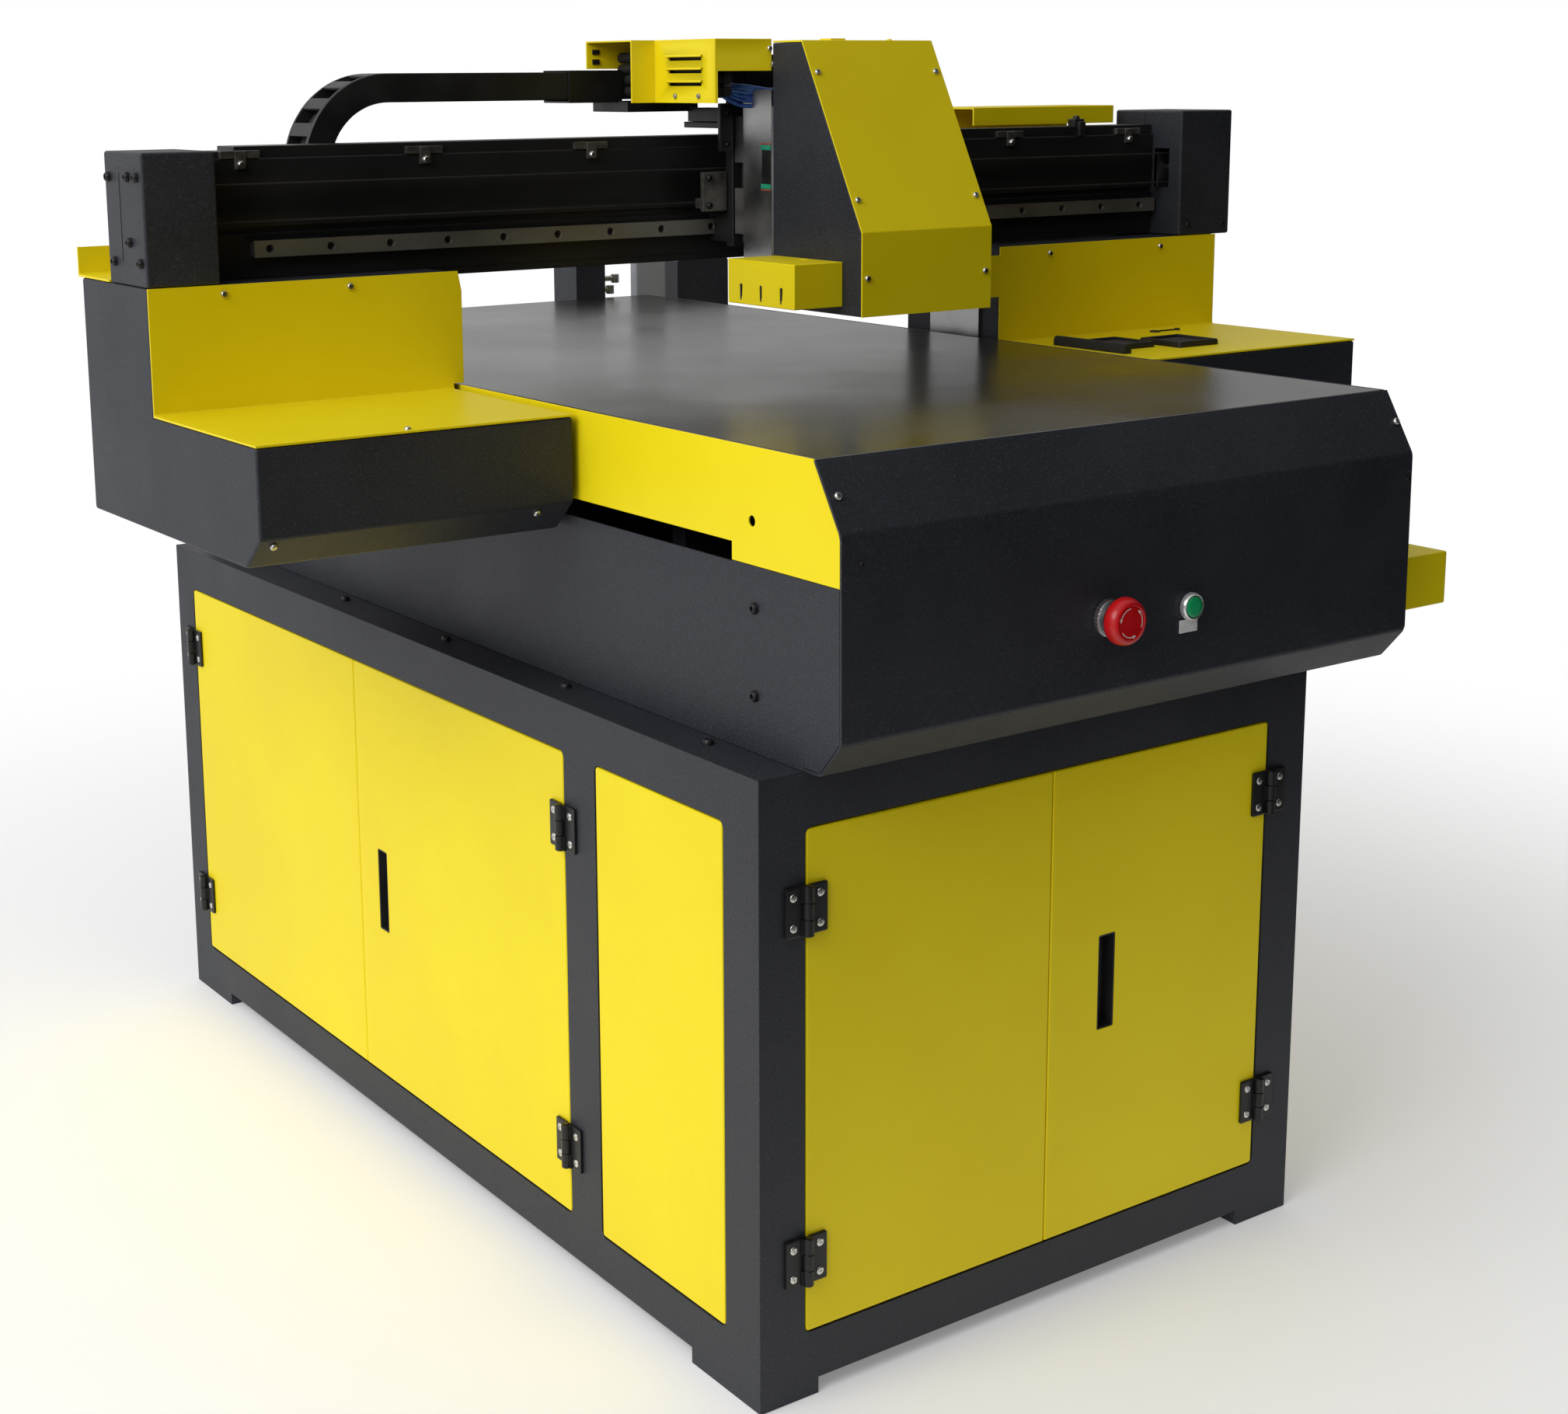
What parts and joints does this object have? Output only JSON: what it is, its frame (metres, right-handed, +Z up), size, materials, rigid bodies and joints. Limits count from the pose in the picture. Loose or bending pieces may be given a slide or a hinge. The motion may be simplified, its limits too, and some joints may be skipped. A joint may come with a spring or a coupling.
{
  "type": "flatbed UV printer",
  "caption": "Flatbed UV printer: steel cabinet with doors, flat print table, travelling gantry, carriage with lifting print head, cable chain and emergency stop.",
  "frame": {"origin": "on the floor, under the middle of the whole machine", "axes": "+Z up; the operator stands at -Y and looks along +Y; +X to the operator's right along the gantry beam"},
  "size_m": [1.322, 1.328, 1.094],
  "materials": {
    "yellow_coat": "satin powder coat with a fine orange-peel texture",
    "dark_coat": "fine-textured dark grey powder coat",
    "black_metal": "satin black",
    "black_plastic": "moulded, satin",
    "aluminium": "machined",
    "steel": "ground",
    "table_metal": "grey anodised, satin",
    "red_plastic": "moulded, glossy",
    "green_plastic": "moulded, translucent look",
    "rubber": "toothed",
    "tank_plastic": "translucent moulded",
    "blue_tube": "smooth hose"
  },
  "bodies": {
    "machine": {"cabinet_frame": "dark_coat", "right_panel": "yellow_coat", "narrow_panel": "yellow_coat", "hinge_front_left_lower": "black_metal", "hinge_front_left_upper": "black_metal", "hinge_front_right_lower": "black_metal", "hinge_front_right_upper": "black_metal", "hinge_side_front_lower": "black_metal", "hinge_side_front_upper": "black_metal", "hinge_side_rear_lower": "black_metal", "hinge_side_rear_upper": "black_metal", "control_box": "aluminium", "bed_frame": "dark_coat", "bed_table": "table_metal", "front_cover": "dark_coat", "side_plate_left": "dark_coat", "side_trim_left": "yellow_coat", "side_plate_right": "dark_coat", "rear_plate": "dark_coat", "ink_tanks": "tank_plastic", "y_rail_left": "steel", "y_rail_right": "steel", "y_motor": "black_metal", "cable_duct": "yellow_coat", "estop_collar": "steel", "button_bezel": "steel"},
    "front_left_door": {"front_door_left": "yellow_coat"},
    "front_right_door": {"front_door_right": "yellow_coat"},
    "side_front_door": {"side_door_front": "yellow_coat"},
    "side_rear_door": {"side_door_rear": "yellow_coat"},
    "stop_button": {"estop_head": "red_plastic"},
    "green_button": {"start_button": "green_plastic"},
    "gantry": {"gantry_beam": "black_metal", "end_box_left": "dark_coat", "end_box_right": "dark_coat", "housing_left": "dark_coat", "housing_right": "dark_coat", "step_cover_left": "yellow_coat", "step_cover_right": "yellow_coat", "gantry_arm_left": "aluminium", "gantry_arm_right": "aluminium", "capping_station": "black_plastic", "x_rail": "steel", "x_belt": "rubber", "x_motor": "black_metal", "chain_tray": "yellow_coat", "chain_lower": "black_plastic"},
    "idler_pulley": {"x_idler_pulley": "aluminium"},
    "drive_pulley": {"x_drive_pulley": "aluminium"},
    "travelling_chain": {"chain_bend": "black_plastic"},
    "carriage": {"carriage_plate": "aluminium", "z_motor": "black_metal", "top_duct": "yellow_coat", "chain_upper": "black_plastic", "ink_tubes": "blue_tube"},
    "head": {"head_frame": "aluminium", "head_shell": "dark_coat", "head_cover": "yellow_coat", "print_heads": "black_plastic", "uv_lamp": "yellow_coat"}
  },
  "joints": [
    {"name": "front_left_door_hinge", "type": "hinge", "parent": "machine", "child": "front_left_door", "pos_m": [-0.3585, -0.592, 0.27], "axis": [0, 0, 1], "range_deg": [-105, 0]},
    {"name": "front_right_door_hinge", "type": "hinge", "parent": "machine", "child": "front_right_door", "pos_m": [0.1655, -0.592, 0.27], "axis": [0, 0, 1], "range_deg": [0, 105]},
    {"name": "side_front_door_hinge", "type": "hinge", "parent": "machine", "child": "side_front_door", "pos_m": [-0.408, -0.2995, 0.27], "axis": [0, 0, 1], "range_deg": [0, 105]},
    {"name": "side_rear_door_hinge", "type": "hinge", "parent": "machine", "child": "side_rear_door", "pos_m": [-0.408, 0.5165, 0.27], "axis": [0, 0, 1], "range_deg": [-105, 0]},
    {"name": "stop_button_push", "type": "slide", "parent": "machine", "child": "stop_button", "axis": [0, 1, 0], "range_m": [0, 0.004], "stiffness_N_per_m": 900},
    {"name": "start_button_push", "type": "slide", "parent": "machine", "child": "green_button", "axis": [0, 1, 0], "range_m": [0, 0.0015], "stiffness_N_per_m": 500},
    {"name": "gantry_slide", "type": "slide", "parent": "machine", "child": "gantry", "axis": [0, 1, 0], "range_m": [-0.28, 0.42]},
    {"name": "carriage_slide", "type": "slide", "parent": "gantry", "child": "carriage", "axis": [1, 0, 0], "range_m": [-0.38, 0.42]},
    {"name": "idler_pulley_spin", "type": "hinge", "parent": "gantry", "child": "idler_pulley", "pos_m": [-0.622, -0.026, 0.952], "axis": [0, 1, 0], "range_deg": [-1500, 1600]},
    {"name": "drive_pulley_spin", "type": "hinge", "parent": "gantry", "child": "drive_pulley", "pos_m": [0.618, -0.026, 0.952], "axis": [0, 1, 0], "range_deg": [-1500, 1600]},
    {"name": "chain_travel", "type": "slide", "parent": "gantry", "child": "travelling_chain", "axis": [1, 0, 0], "range_m": [-0.195, 0.215]},
    {"name": "head_lift", "type": "slide", "parent": "carriage", "child": "head", "axis": [0, 0, 1], "range_m": [-0.05, 0.024]}
  ],
  "couplings": [
    {"joint": "idler_pulley_spin", "follows": "carriage_slide", "rad_per_m": 61.728},
    {"joint": "drive_pulley_spin", "follows": "carriage_slide", "rad_per_m": 61.728},
    {"joint": "chain_travel", "follows": "carriage_slide", "ratio": 0.5}
  ]
}
